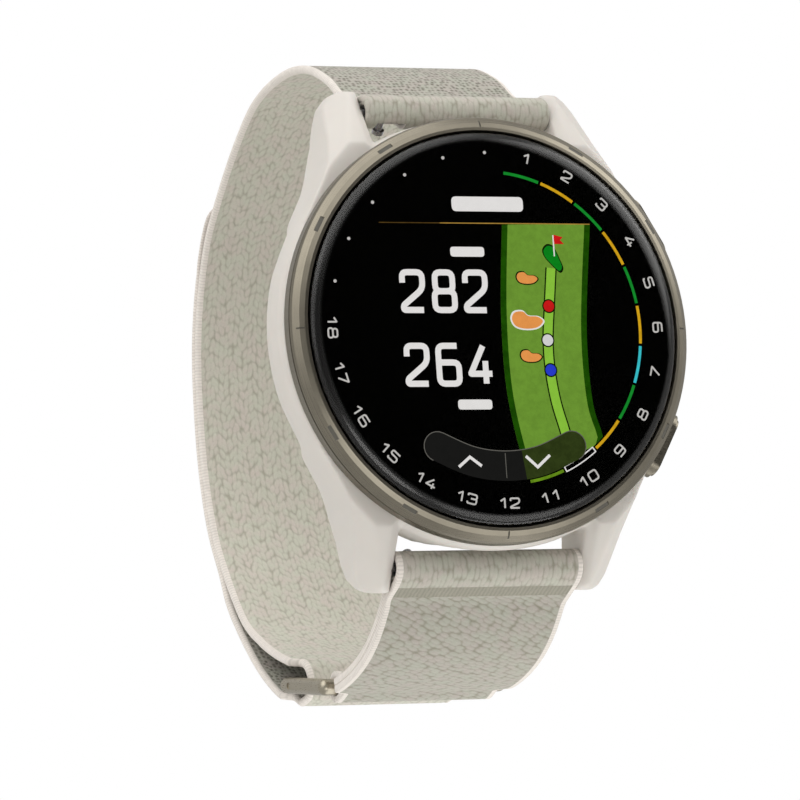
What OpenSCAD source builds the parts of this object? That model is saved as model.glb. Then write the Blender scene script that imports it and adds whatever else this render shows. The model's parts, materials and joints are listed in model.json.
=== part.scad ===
// Golf watch with a knitted hook-and-loop strap, drawn as it is worn: 12 o'clock up (+Z),
// 3 o'clock to the right (+X), the glass facing -Y and the wrist behind the case (+Y).
// The origin is the middle of the sensor window's flat back face.
// Round parts are drawn flat, with their own z as the height above that back face, and stood
// up by upright(). Strap parts are drawn as an outline in Y and Z and given a width by across().

/* [Case] */
// Outside diameter of the bezel
bezel_d = 43.2; // [42.8:0.1:43.4]
// Largest diameter of the polymer case
case_d = 43.9; // [43.8:0.1:44.4]
// Diameter of the hollow in the case
cavity_d = 37.2; // [37:0.1:37.4]
// Height of the glass above the sensor window
watch_h = 12.1; // [11.9:0.1:12.2]
// Height of the joint between case and bezel
bezel_seat_h = 8.6; // [8.5:0.1:8.7]
// Diameter of the cover glass
lens_d = 39.8; // [39.4:0.1:39.8]
// Diameter of the round display panel
display_d = 33.2; // [32:0.1:34]

/* [Lugs and spring bars] */
// Gap between the two lugs of a pair
lug_gap = 20.3; // [20.2:0.1:20.6]
// Distance from the watch's middle to a spring bar
bar_z = 23.1; // [23:0.1:23.3]
// Height of the spring bars above the sensor window
bar_h = 4.9; // [4.8:0.1:5]
// Outside diameter of a spring bar
bar_d = 1.5; // [1.4:0.1:1.6]
// Diameter of a spring bar's end pins
pin_d = 0.8; // [0.7:0.1:0.9]
// How far the quick-release lever slides
lever_travel = 1.3; // [1.2:0.1:1.4]

/* [Buttons] */
// Angle of a button above or below 3 o'clock
button_angle = 29.5; // [28:0.5:31]
// Length of a button along the case
button_l = 7.2; // [6.6:0.2:7.4]
// Height of a button across the case
button_w = 3; // [2.8:0.1:3.2]
// Distance from the watch's middle to a button's outer face
button_face = 23.2; // [23:0.1:23.4]
// How far a button travels
button_travel = 0.4; // [0.3:0.1:0.4]

/* [Strap] */
// Width of the strap
strap_w = 19.8; // [19.4:0.1:19.9]
// Width of the strap's necks inside the ring
neck_w = 17.2; // [16.6:0.1:17.3]
// Thickness of the long upper strap
strap_t = 0.8; // [0.7:0.05:0.8]
// Thickness of the folded-back tail
tail_t = 0.7; // [0.6:0.05:0.7]
// Thickness of the doubled lower strap
lower_t = 1.5; // [1.3:0.1:1.6]
// Outside diameter of the strap's eye round a spring bar
eye_d = 3.9; // [3.7:0.1:4.1]
// Distance between the middles of the ring's two crossbars
ring_pitch = 9.9; // [9.8:0.1:10]
// Thickness of the ring's bars
ring_t = 1.7; // [1.6:0.1:1.8]
// Width of the ring
ring_w = 21; // [20.9:0.1:21.2]

/* [Hidden] */

$fn = 96;
fit = 0.05;     // running clearance of a pin, bar or stem
thin = 0.01;    // clearance of pieces that lie against each other

case_r = case_d / 2;
cavity_r = cavity_d / 2;
bezel_r = bezel_d / 2;
lens_r = lens_d / 2;
lens_h = watch_h - 1.8;        // underside of the cover glass
cover_r = 17.9;                // back cover
ledge_h = 2.25;                // ledge that the back cover is screwed up to
window_r = 10.4;
screw_r = 16.3;                // circle of the back screws
screw_angles = [45, 135, 225, 315];
socket_z = -14.1;              // charging socket, towards 6 o'clock
socket_size = [7.4, 3.2];
pin_pitch = 1.6;

lug_in = lug_gap / 2;
lug_h = bezel_seat_h - 0.05;    // front of the lugs beside the bezel
lug_knee_z = 19.3;             // where the lug's front face starts to slope back
lug_slope = 31.5;
lug_tip_z = 25;                // where the front face ends
lug_tip_y = -lug_h + (lug_tip_z - lug_knee_z) * tan(lug_slope);
eye_r = eye_d / 2;
bar_room_r = 2.65;             // hollow in the case round the strap's eye
bar_room_x = lug_in + 0.03;
tube_l = 19.6;
tube_bore_r = 0.56;
bore_end = 1.2;                // where the tube's bore stops
lever_x = -7.7;

button_h = 6.3;                // height of the buttons' middle
button_floor = 20.3;           // floor of the pocket in the case
button_base = 20.9;            // inner face of the button's cap
stem_r = 0.75;
stem_end = 17.6;
clip_in = 18.31;
spring_seat = 19.9;

ring_front = [15.3, -32.5];    // middle of the ring's front crossbar, Y and Z
ring_tilt = 8.1;
ring_back = ring_front + ring_pitch * [cos(ring_tilt), sin(ring_tilt)];
bar_r = ring_t / 2;

// Middle line of each strap layer, as Y and Z, from the bar or the fold outwards
upper_points = [[-bar_h, bar_z], [-2.0, 24.4], [1.3, 26.2], [4.4, 28.4], [9, 30.5], [13.4, 31.4],
    [17.6, 31.4], [22, 30.8], [26, 29.4], [31.4, 26], [36.4, 22], [40.1, 18.4], [43, 13.2],
    [44.7, 7.8], [45.3, 2], [45.1, -5], [43.7, -11.6], [41.2, -16.7], [36.6, -22.8],
    [32.2, -25.7], [28.3, -27.5], [24.9, -28.7]];
fold_points = [[23.1, -29.5], [22.3, -31], [23, -32.4], [25.4, -32.9]];
tail_root_points = [[25.6, -32.9], [29.4, -30.9], [33.3, -28.2], [37.3, -24.4], [40.3, -20.8]];
lower_points = [[-bar_h, -bar_z], [-2.4, -25.3], [0.7, -28.3], [3.7, -30.3], [6.9, -31.6],
    [10.2, -32.4], [12.9, -32.7], ring_front];
steps = 4;                     // pieces that each stretch between two points is cut into
tail_gap = 0.9;                // from the strap's middle line to the tail's
tail_first = 10;               // the tail lies on the strap from here
tail_last = 17;                // to here
pad_steps = 7;                 // length of the hook pad, in pieces of the tail
neck_start_y = 13.1;           // where the lower strap narrows

function unit(v) = v / norm(v);
function side(v) = [-v[1], v[0]];
function clamped(p, i) = p[min(max(i, 0), len(p) - 1)];
function along(a, b, c, d, t) =
    ((2 * b) + (c - a) * t + (2 * a - 5 * b + 4 * c - d) * t * t + (3 * b - a - 3 * c + d) * t * t * t) / 2;
function curve(p) = concat([for (i = [0 : len(p) - 2], k = [0 : steps - 1])
    along(clamped(p, i - 1), p[i], p[i + 1], clamped(p, i + 2), k / steps)], [p[len(p) - 1]]);
function normal(p, i) = side(unit(clamped(p, i + 1) - clamped(p, i - 1)));
// An outline round path p from point a to point b, from offset low to offset high of it
function band(p, a, b, low, high) = concat([for (i = [a : b]) p[i] + high * normal(p, i)],
    [for (i = [b : -1 : a]) p[i] + low * normal(p, i)]);

upper_curve = curve(concat(upper_points, fold_points));
upper_end = len(upper_curve) - 1;
upper_neck = (len(upper_points) - 1) * steps;
tail_curve = curve(concat(tail_root_points, [for (i = [tail_last : -1 : tail_first])
    upper_points[i] + tail_gap * normal(upper_points, i)]));
tail_end = len(tail_curve) - 1;
tail_neck = 2;
lower_curve = curve(lower_points);
lower_end = len(lower_curve) - 1;
lower_neck = len([for (p = lower_curve) if (p[0] < neck_start_y) p]);

module upright() {
    rotate([90, 0, 0])
        children();
}

module across(w) {
    rotate([90, 0, 90])
        translate([0, 0, -w / 2])
            linear_extrude(w)
                children();
}

module at_bar(s) {
    translate([0, -bar_h, s * bar_z])
        children();
}

// A rod along X from x0 to x1
module rod(r, x0, x1) {
    translate([x0, 0, 0])
        rotate([0, 90, 0])
            cylinder(r = r, h = x1 - x0);
}

// Local x points out of the case along the button's travel, y along the case, z to the front
module at_button(s) {
    upright()
        rotate([0, 0, s * button_angle])
            translate([0, 0, button_h])
                children();
}

module stadium(l, w) {
    for (s = [-1, 1])
        translate([0, s * (l - w) / 2])
            circle(d = w);
    square([w, l - w], center = true);
}

// A stadium standing on x, from x0 to x1, long along y
module stadium_bar(l, w, x0, x1) {
    translate([x0, 0, 0])
        rotate([0, 90, 0])
            linear_extrude(x1 - x0)
                stadium(l, w);
}

// Wire wound round x, from x0 to x1
module coil(r, wire_d, x0, x1, turns) {
    wire_sides = 6;
    turn_steps = 14;
    n = turns * turn_steps;
    function ring_point(i, k) = let (a = 360 * i / turn_steps, b = 360 * k / wire_sides,
        d = r + wire_d / 2 * cos(b)) [x0 + (x1 - x0) * i / n + wire_d / 2 * sin(b), d * cos(a), d * sin(a)];
    points = [for (i = [0 : n], k = [0 : wire_sides - 1]) ring_point(i, k)];
    faces = concat([[for (k = [0 : wire_sides - 1]) k]],
        [[for (k = [wire_sides - 1 : -1 : 0]) n * wire_sides + k]],
        [for (i = [0 : n - 1], k = [0 : wire_sides - 1]) let (m = (k + 1) % wire_sides,
            p = i * wire_sides, q = p + wire_sides) [p + k, q + k, q + m, p + m]]);
    polyhedron(points, faces);
}

// One lug, at the upper right
module lug() {
    outline = [[lug_in, 12], [lug_in, 25.5], [11.9, 25.5], [13.1, 24.9], [13.8, 23.8], [14.2, 22],
        [14.6, 20], [15.4, 17.3], [16.6, 14.8], [18.6, 11.2], [17.5, 10]];
    profile = [[-lug_h, 9], [-lug_h, lug_knee_z], [lug_tip_y, lug_tip_z], [-4.1, 25.5],
        [-2.7, 25.2], [-1.6, 24], [-1.2, 22], [-1.6, 18], [-2.4, 9]];
    difference() {
        intersection() {
            upright()
                linear_extrude(watch_h)
                    polygon(outline);
            across(60)
                polygon(profile);
        }
        translate([0, -lug_h, lug_knee_z])
            rotate([-lug_slope, 0, 0]) {
                // bevel beside the lug gap
                translate([0, 0, -12])
                    linear_extrude(30)
                        polygon([[lug_in - 1, -1.2], [lug_in - 1, 1.15], [lug_in + 3.3, -1.2]]);
                // bevel along the outer side
                translate([14.6, 0, 0])
                    rotate([0, -15, 0])
                        translate([0, 0, -12])
                            linear_extrude(30)
                                polygon([[-2.33, -0.7], [3, 3.3], [3, -0.7]]);
            }
    }
}

// The case without its hollow
module case_disc() {
    rotate_extrude()
        polygon([[0, 1.2], [18.7, 1.2], [19.7, 2], [21.2, 3.5], [case_r - 0.1, 4.9],
            [case_r, 6.2], [case_r - 0.1, 7.7], [case_r - 0.5, bezel_seat_h], [0, bezel_seat_h]]);
}

// The hollow, less the four bosses that the back screws go into
module case_hollow() {
    difference() {
        rotate_extrude()
            polygon([[0, 0], [cover_r + fit, 0], [cover_r + fit, ledge_h], [16.9, ledge_h],
                [16.9, 2.9], [cavity_r, 2.9], [cavity_r, watch_h], [0, watch_h]]);
        for (a = screw_angles)
            rotate(a)
                translate([screw_r + 0.5, 0, ledge_h])
                    cylinder(r = 2.2, h = 2.6);
    }
}

module case_body() {
    color("#e2ddd6")
        difference() {
            union() {
                upright()
                    case_disc();
                for (m = [0, 1], n = [0, 1])
                    mirror([m, 0, 0])
                        mirror([0, 0, n])
                            lug();
            }
            upright()
                case_hollow();
            // room for the strap's eyes between the lugs
            for (s = [-1, 1]) {
                at_bar(s)
                    rod(bar_room_r, -bar_room_x, bar_room_x);
                mirror([0, 0, s < 0 ? 1 : 0])
                    translate([-bar_room_x, -bar_h, bar_z - bar_room_r + 0.25])
                        cube([2 * bar_room_x, bar_h + 1, bar_room_r + 6]);
                at_bar(s)
                    rod(pin_d / 2 + fit, -lug_in - 1.3, lug_in + 1.3);
            }
            upright()
                for (a = screw_angles)
                    rotate(a)
                        translate([screw_r, 0, 0])
                            cylinder(r = 0.46, h = 4.4);
            for (s = [-1, 1])
                at_button(s) {
                    stadium_bar(button_l + 0.3, button_w + 0.3, button_floor, case_r + 3);
                    rod(1.4, spring_seat, button_floor + 0.1);
                    rod(stem_r + fit, cavity_r - 1, button_floor);
                }
        }
}

module bezel_ring() {
    tick_r = 20.85;
    tick_h = 11.22;
    tick_depth = 0.12;
    color("#7d7768")
        upright()
            difference() {
                rotate_extrude()
                    polygon([[cavity_r + 0.3, bezel_seat_h + thin], [bezel_r - 0.3, bezel_seat_h + thin],
                        [bezel_r - 0.05, bezel_seat_h + 0.25], [bezel_r - 0.05, 10], [bezel_r - 0.4, 10.05],
                        [bezel_r - 0.4, 10.25], [bezel_r, 10.3], [bezel_r - 0.12, 10.7],
                        [bezel_r - 0.7, 11.2], [20.4, 11.42], [20.1, 11.46], [lens_r + fit, 11.2],
                        [lens_r + fit, lens_h - 0.2], [cavity_r + 0.3, lens_h - 0.2]]);
                for (hour = [0 : 11])
                    rotate(30 * hour)
                        translate([tick_r, 0, tick_h - tick_depth])
                            rotate([0, 24, 0])
                                if (hour % 3 == 0)
                                    translate([-0.5, -0.08, 0])
                                        cube([2, 0.16, 1]);
                                else
                                    translate([-0.22, -0.85, 0])
                                        cube([0.44, 1.7, 1]);
            }
}

module cover_glass() {
    color([0.05, 0.05, 0.06, 0.6])
        upright()
            translate([0, 0, lens_h])
                rotate_extrude()
                    polygon([[0, 0], [lens_r, 0], [lens_r, 0.95], [lens_r - 0.12, 1.2],
                        [lens_r - 0.4, 1.45], [lens_r - 0.85, 1.63], [lens_r - 1.5, 1.74],
                        [lens_r - 2.4, 1.79], [lens_r - 4, 1.8], [0, 1.8]]);
}

module glass_gasket() {
    color("#151515")
        upright()
            translate([0, 0, lens_h - 0.2 + thin])
                difference() {
                    cylinder(r = lens_r - 0.05, h = 0.2 - 2 * thin);
                    translate([0, 0, -1])
                        cylinder(r = lens_r - 0.9, h = 2);
                }
}

module display_panel() {
    color("#08080a")
        upright()
            translate([0, 0, 9.1])
                cylinder(d = display_d, h = lens_h - 9.1 - thin);
}

module display_flex() {
    flex_w = 8;
    color("#b8792c")
        across(flex_w)
            polygon([[-9.08, -13], [-9.08, -17.6], [-6.62, -17.6], [-6.62, -13.2], [-6.78, -13.2],
                [-6.78, -17.44], [-8.92, -17.44], [-8.92, -13]]);
}

module inner_frame() {
    color("#5a5d60")
        upright()
            difference() {
                translate([0, 0, 7.7])
                    cylinder(r = cavity_r - 0.1, h = 1.2);
                translate([0, 3, 7])
                    cube([16, 12, 6], center = true);
                translate([-4.3, -17.75, 7])
                    cube([8.6, 0.9, 3]);
                for (a = [60 : 60 : 300])
                    rotate(a)
                        translate([15.4, 0, 7])
                            cylinder(r = 1.3, h = 3);
            }
}

module gps_antenna() {
    color("#c08a3a")
        upright()
            translate([0, 0, 8.91])
                difference() {
                    cylinder(r = 18.4, h = 0.14);
                    translate([0, 0, -1])
                        cylinder(r = 17.1, h = 2);
                    translate([-5, -20, -1])
                        cube([10, 10, 2]);
                }
}

module main_board() {
    color("#1f5a3a")
        upright()
            difference() {
                translate([0, 0, 5.9])
                    cylinder(r = 17.2, h = 0.7);
                for (s = [-1, 1])
                    rotate(s * button_angle)
                        translate([14.6, -3, 5])
                            cube([4, 6, 3]);
                for (a = [90, 210, 330])
                    rotate(a + 5)
                        translate([15.8, 0, 5])
                            cylinder(r = 0.6, h = 3);
            }
}

module board_shields() {
    color("#b9bbbd")
        upright()
            for (box = [[-11.5, -1, 10, 10], [1, -4, 9, 13]])
                translate([box[0], box[1], 6.6 + thin])
                    difference() {
                        cube([box[2], box[3], 1]);
                        translate([0.15, 0.15, -0.15])
                            cube([box[2] - 0.3, box[3] - 0.3, 1]);
                    }
}

module battery() {
    color("#9ea2a6")
        upright()
            translate([0, -1, 2.45])
                linear_extrude(3.2)
                    for (s = [-1, 1]) {
                        square([19.2 - (s + 1), 15.2 + (s + 1)], center = true);
                        for (t = [-1, 1])
                            translate([s * 8.6, t * 7.6])
                                circle(r = 1);
                    }
}

module vibration_motor() {
    color("#c9cbcc")
        upright()
            translate([0, 12.3, 2.45]) {
                cylinder(r = 4, h = 2.5);
                translate([-1.5, 3.4, 0])
                    cube([3, 1, 0.4]);
            }
}

module side_switches() {
    color("#2b2b2d")
        for (s = [-1, 1])
            at_button(s) {
                translate([15.4, -2.2, -1])
                    cube([1.2, 4.4, 2]);
                rod(0.8, 16.6, stem_end - button_travel - 0.02);
            }
}

module back_cover() {
    color("#d9d5ce")
        upright()
            difference() {
                rotate_extrude()
                    polygon([[window_r + fit, 0.55], [13.8, 0.55], [16.5, 0.85], [cover_r, 1.5],
                        [cover_r, ledge_h - thin], [17.65, ledge_h - thin], [17.65, 1.75], [17.1, 1.75],
                        [17.1, ledge_h - thin], [window_r - 0.4, ledge_h - thin],
                        [window_r - 0.4, 1.95], [window_r + fit, 1.95]]);
                for (a = screw_angles)
                    rotate(a)
                        translate([screw_r, 0, 0]) {
                            cylinder(r = 1.02, h = 1.5);
                            cylinder(r = 0.5, h = 4);
                        }
                translate([0, socket_z, -1])
                    linear_extrude(5)
                        rotate(90)
                            stadium(socket_size[0] + 0.8, socket_size[1] + 0.8);
            }
}

module back_gasket() {
    color("#2a2a2a")
        upright()
            translate([0, 0, ledge_h - 0.25])
                rotate_extrude()
                    translate([17.375, 0])
                        circle(r = 0.24, $fn = 32);
}

module back_screws() {
    color("#8d8f91")
        upright()
            for (a = screw_angles)
                rotate(a)
                    translate([screw_r, 0, 0])
                        difference() {
                            union() {
                                translate([0, 0, 0.98])
                                    cylinder(r = 0.95, h = 0.51);
                                translate([0, 0, 1.4])
                                    cylinder(r = 0.44, h = 2.9);
                            }
                            translate([0, 0, 0.9])
                                cylinder(r = 0.45, h = 0.4, $fn = 6);
                        }
}

module sensor_window() {
    color("#1a1b1d")
        upright()
            rotate_extrude()
                polygon([[0, 0], [8.6, 0], [9.8, 0.16], [window_r, 0.45], [window_r, 0.95], [0, 0.95]]);
}

module sensor_board() {
    color("#174d31")
        upright()
            translate([0, 0, 1.35])
                difference() {
                    cylinder(r = window_r - 0.1, h = 0.58);
                    for (a = [30, 210])
                        rotate(a)
                            translate([window_r - 0.4, 0, -1])
                                cylinder(r = 0.8, h = 3);
                }
}

module sensor_diodes() {
    diode = [1.5, 1.1, 0.37];
    color("#d8d6c4")
        upright() {
            for (a = [0 : 90 : 270])
                rotate(a)
                    translate([4.6, -diode[1] / 2, 0.96])
                        cube(diode);
            for (x = [-1.7, 0.2])
                translate([x, -diode[1] / 2, 0.96])
                    cube(diode);
        }
}

module charge_socket() {
    color("#202123")
        upright()
            translate([0, socket_z, 0])
                difference() {
                    translate([0, 0, 0.62])
                        linear_extrude(2.2)
                            rotate(90)
                                stadium(socket_size[0] + 0.76, socket_size[1] + 0.76);
                    translate([0, 0, 0])
                        linear_extrude(1.9)
                            rotate(90)
                                stadium(socket_size[0], socket_size[1]);
                    for (i = [-1.5 : 1.5])
                        translate([i * pin_pitch, 0, 0])
                            cylinder(r = 0.46, h = 4);
                }
}

module charge_pins() {
    color("#d5b46a")
        upright()
            for (i = [-1.5 : 1.5])
                translate([i * pin_pitch, socket_z, 1]) {
                    cylinder(r = 0.45, h = 2.3);
                    sphere(r = 0.45);
                }
}

module button(s) {
    face_bevel = 0.35;
    color("#8a8474")
        at_button(s)
            difference() {
                union() {
                    stadium_bar(button_l, button_w, button_base, button_face - face_bevel);
                    stadium_bar(button_l - 2 * face_bevel, button_w - 2 * face_bevel, button_base,
                        button_face);
                    rod(stem_r, stem_end, button_base + 0.1);
                }
                // recessed panel in the outer face
                stadium_bar(button_l - 1.5, button_w - 1.5, button_face - 0.2, button_face + 1);
                // grooves for the seal and the clip
                for (g = [[19, 19.5], [clip_in - 0.02, clip_in + 0.27]])
                    difference() {
                        rod(1.2, g[0], g[1]);
                        rod(0.47, g[0] - 1, g[1] + 1);
                    }
            }
}

module button_seal(s) {
    color("#1c1c1c")
        at_button(s)
            translate([19.25, 0, 0])
                rotate([0, 90, 0])
                    rotate_extrude()
                        translate([0.635, 0])
                            circle(r = 0.155, $fn = 24);
}

module button_clip(s) {
    color("#b4b6b8")
        at_button(s)
            difference() {
                rod(1.15, clip_in, clip_in + 0.25);
                rod(0.48, clip_in - 1, clip_in + 1);
                translate([clip_in - 1, -0.42, -3])
                    cube([2, 0.84, 3]);
            }
}

module button_spring(s) {
    color("#c2c4c6")
        at_button(s)
            coil(1.08, 0.18, spring_seat + 0.12, button_base - 0.12, 3);
}

module bar_tube(s) {
    color("#9a9ca0")
        at_bar(s)
            difference() {
                rod(bar_d / 2, -tube_l / 2, tube_l / 2);
                rod(tube_bore_r, -tube_l, bore_end);
                rod(pin_d / 2 + thin, tube_l / 2 - 2.2, tube_l);
                // slot that the lever slides in, on the side that faces the wrist and the case
                rotate([s * -45, 0, 0])
                    translate([lever_x - 0.55, 0, -0.45])
                        cube([lever_travel + 1.1, 2, 0.9]);
            }
}

module bar_pin(s) {
    color("#b5b7ba")
        at_bar(s)
            rod(pin_d / 2, tube_l / 2 - 2.1, lug_in + 1.1);
}

module bar_lever(s) {
    lever_r = 0.38;
    lever_l = 2.4;
    color("#b5b7ba")
        at_bar(s) {
            rod(tube_bore_r - fit, -tube_l / 2 + 0.3, -5);
            rod(pin_d / 2, -lug_in - 1.1, -tube_l / 2 + 0.4);
            rotate([s * -45, 0, 0])
                translate([lever_x, 0, 0])
                    rotate([-90, 0, 0]) {
                        cylinder(r = lever_r, h = lever_l);
                        translate([0, 0, lever_l - 0.45])
                            cylinder(r = 0.6, h = 0.45);
                    }
        }
}

module bar_spring(s) {
    color("#c2c4c6")
        at_bar(s)
            coil(0.4, 0.14, -4.9, bore_end - 0.1, 9);
}

// The window in a strap's eye that the lever comes out of
module lever_window(s) {
    at_bar(s)
        rotate([s * -45, 0, 0])
            translate([lever_x - 0.9, 0, -1.5])
                cube([lever_travel + 1.8, 4, 2.4]);
}

module upper_strap() {
    color("#bab6a7")
        difference() {
            union() {
                across(strap_w)
                    polygon(band(upper_curve, 1, upper_neck, -strap_t / 2, strap_t / 2));
                across(neck_w)
                    polygon(band(upper_curve, upper_neck - 1, upper_end, -strap_t / 2, strap_t / 2));
                at_bar(1)
                    rod(eye_r, -strap_w / 2, strap_w / 2);
            }
            at_bar(1)
                rod(bar_d / 2 + fit, -strap_w, strap_w);
            lever_window(1);
        }
}

module strap_tail() {
    color("#aaa696")
        union() {
            across(neck_w)
                polygon(band(tail_curve, 0, tail_neck + 1, -tail_t / 2, tail_t / 2));
            across(strap_w)
                polygon(band(tail_curve, tail_neck, tail_end - pad_steps, -tail_t / 2, tail_t / 2));
            across(strap_w)
                polygon(band(tail_curve, tail_end - pad_steps - 1, tail_end, -tail_t / 2, 0));
        }
}

module hook_pad() {
    color("#8f8c80")
        across(strap_w - 2)
            polygon(band(tail_curve, tail_end - pad_steps + 1, tail_end, thin, tail_t / 2));
}

module lower_strap() {
    fold_r = bar_r + fit + 0.75;
    color("#bab6a7")
        difference() {
            union() {
                across(strap_w)
                    polygon(band(lower_curve, 1, lower_neck, -lower_t / 2, lower_t / 2));
                across(neck_w)
                    polygon(band(lower_curve, lower_neck - 1, lower_end, -lower_t / 2, lower_t / 2));
                at_bar(-1)
                    rod(eye_r, -strap_w / 2, strap_w / 2);
                translate([0, ring_front[0], ring_front[1]])
                    rod(fold_r, -neck_w / 2, neck_w / 2);
            }
            at_bar(-1)
                rod(bar_d / 2 + fit, -strap_w, strap_w);
            translate([0, ring_front[0], ring_front[1]])
                rod(bar_r + fit, -strap_w, strap_w);
            lever_window(-1);
        }
}

module strap_ring() {
    inner_half = ring_w / 2 - ring_t;
    color("#96907f")
        translate([0, ring_front[0], ring_front[1]])
            rotate([ring_tilt, 0, 0]) {
                for (y = [0, ring_pitch])
                    translate([0, y, 0])
                        rod(bar_r, -inner_half - bar_r, inner_half + bar_r);
                for (s = [-1, 1])
                    translate([s * (inner_half + bar_r), 0, 0])
                        difference() {
                            union() {
                                rotate([-90, 0, 0])
                                    cylinder(r = bar_r, h = ring_pitch);
                                for (y = [0, ring_pitch])
                                    translate([0, y, 0])
                                        sphere(r = bar_r);
                            }
                            // shallow oval recess in the outer side
                            translate([s * (bar_r - 0.12), ring_pitch / 2, 0])
                                rotate([0, 90, 0])
                                    translate([0, 0, -0.5 + s * 0.5])
                                        linear_extrude(1)
                                            stadium(ring_pitch - 3, 0.7);
                        }
            }
}

case_body();
bezel_ring();
cover_glass();
glass_gasket();
display_panel();
display_flex();
inner_frame();
gps_antenna();
main_board();
board_shields();
battery();
vibration_motor();
side_switches();
back_cover();
back_gasket();
back_screws();
sensor_window();
sensor_board();
sensor_diodes();
charge_socket();
charge_pins();
button(1);  // upper_button
button_seal(1);  // upper_button_seal
button_clip(1);  // upper_button_clip
button_spring(1);  // upper_button_spring
button(-1);  // lower_button
button_seal(-1);  // lower_button_seal
button_clip(-1);  // lower_button_clip
button_spring(-1);  // lower_button_spring
bar_tube(1);  // upper_bar_tube
bar_pin(1);  // upper_bar_pin
bar_lever(1);  // upper_bar_lever
bar_spring(1);  // upper_bar_spring
bar_tube(-1);  // lower_bar_tube
bar_pin(-1);  // lower_bar_pin
bar_lever(-1);  // lower_bar_lever
bar_spring(-1);  // lower_bar_spring
upper_strap();
strap_tail();
hook_pad();
lower_strap();
strap_ring();
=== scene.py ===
"""Looks of the golf watch: knitted strap, domed glass, printed dial, lit course map and finishes, built
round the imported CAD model. Sizes are in millimetres until a mesh is made, and +Z is 12 o'clock."""

import json
import math

import bmesh
import bpy
from mathutils import Matrix, Vector


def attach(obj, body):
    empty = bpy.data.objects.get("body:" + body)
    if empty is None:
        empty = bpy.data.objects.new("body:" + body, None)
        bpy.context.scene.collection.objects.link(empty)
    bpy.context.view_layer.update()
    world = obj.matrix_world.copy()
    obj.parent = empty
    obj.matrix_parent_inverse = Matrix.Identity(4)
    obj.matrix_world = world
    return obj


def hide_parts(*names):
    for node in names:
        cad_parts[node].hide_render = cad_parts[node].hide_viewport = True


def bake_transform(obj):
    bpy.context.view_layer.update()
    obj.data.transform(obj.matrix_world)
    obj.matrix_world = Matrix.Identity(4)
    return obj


MM = 0.001
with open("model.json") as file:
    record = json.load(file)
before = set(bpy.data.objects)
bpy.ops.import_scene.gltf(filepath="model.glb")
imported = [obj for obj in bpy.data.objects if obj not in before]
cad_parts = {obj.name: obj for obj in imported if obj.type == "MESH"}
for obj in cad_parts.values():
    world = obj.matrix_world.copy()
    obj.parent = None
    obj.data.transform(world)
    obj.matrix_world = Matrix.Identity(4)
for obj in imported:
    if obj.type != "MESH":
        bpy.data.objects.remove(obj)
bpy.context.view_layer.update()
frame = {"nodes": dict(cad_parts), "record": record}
NODES = frame["nodes"]


def rgb(code):
    """Linear colour of a #rrggbb code."""
    parts = [int(code[i : i + 2], 16) / 255 for i in (1, 3, 5)]
    return tuple(p / 12.92 if p <= 0.04045 else ((p + 0.055) / 1.055) ** 2.4 for p in parts)


# ---------------------------------------------------------------- materials


class Shade:
    """A node material being built round one Principled shader."""

    def __init__(self, name, colour=(0.8, 0.8, 0.8), roughness=0.5, metallic=0.0, **sockets):
        self.mat = bpy.data.materials.new(name)
        self.mat.use_nodes = True
        self.tree = self.mat.node_tree
        self.shader = self.tree.nodes["Principled BSDF"]
        self.set("Base Color", (*colour, 1.0))
        self.set("Roughness", roughness)
        self.set("Metallic", metallic)
        for socket, value in sockets.items():
            self.set(socket.replace("_", " "), value)

    def set(self, socket, value):
        if isinstance(value, bpy.types.NodeSocket):
            self.tree.links.new(value, self.shader.inputs[socket])
        else:
            self.shader.inputs[socket].default_value = value

    def node(self, kind, inputs, out=0, **props):
        n = self.tree.nodes.new("ShaderNode" + kind)
        for key, value in props.items():
            setattr(n, key, value)
        for key, value in inputs.items():
            if isinstance(value, bpy.types.NodeSocket):
                self.tree.links.new(value, n.inputs[key])
            else:
                n.inputs[key].default_value = value
        return n.outputs[out]

    def place(self, scale=(1, 1, 1), turn=0.0, cloth=False):
        """Texture coordinates: in millimetres along and across a strap if cloth, else in the row frame."""
        source = self.tree.nodes.new("ShaderNodeUVMap" if cloth else "ShaderNodeTexCoord")
        if cloth:
            source.uv_map = "cloth"
        vector = source.outputs[0 if cloth else "Object"]
        if not cloth:
            scale = [s / MM for s in scale]
        turned = self.node("Mapping", {0: vector, "Rotation": (0, 0, turn)})
        return self.node("Mapping", {0: turned, "Scale": scale})

    def noise(self, vector, scale, detail=3.0, rough=0.55):
        return self.node("TexNoise", {"Vector": vector, "Scale": scale, "Detail": detail, "Roughness": rough})

    def cells(self, vector, randomness=1.0, feature="F1"):
        return self.node(
            "TexVoronoi", {"Vector": vector, "Scale": 1.0, "Randomness": randomness}, feature=feature
        )

    def ramp(self, value, *stops):
        n = self.tree.nodes.new("ShaderNodeValToRGB")
        self.tree.links.new(value, n.inputs[0])
        ends = n.color_ramp.elements
        while len(ends) < len(stops):
            ends.new(0.5)
        for element, (at, colour) in zip(ends, stops):
            element.position = at
            element.color = (*(colour if isinstance(colour, tuple) else (colour,) * 3), 1)
        return n.outputs[0]

    def mix(self, factor, a, b, blend="MIX"):
        n = self.tree.nodes.new("ShaderNodeMix")
        n.data_type, n.blend_type = "RGBA", blend
        for i, value in ((0, factor), (6, a), (7, b)):
            if isinstance(value, bpy.types.NodeSocket):
                self.tree.links.new(value, n.inputs[i])
            else:
                n.inputs[i].default_value = value if i == 0 else (*value, 1)
        return n.outputs[2]

    def maths(self, operation, a, b=0.0):
        return self.node("Math", {0: a, 1: b}, operation=operation)

    def bump(self, height, depth, strength=1.0):
        """Relief of the given depth in millimetres."""
        normal = self.node("Bump", {"Height": height, "Distance": depth * MM, "Strength": strength})
        self.set("Normal", normal)


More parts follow.
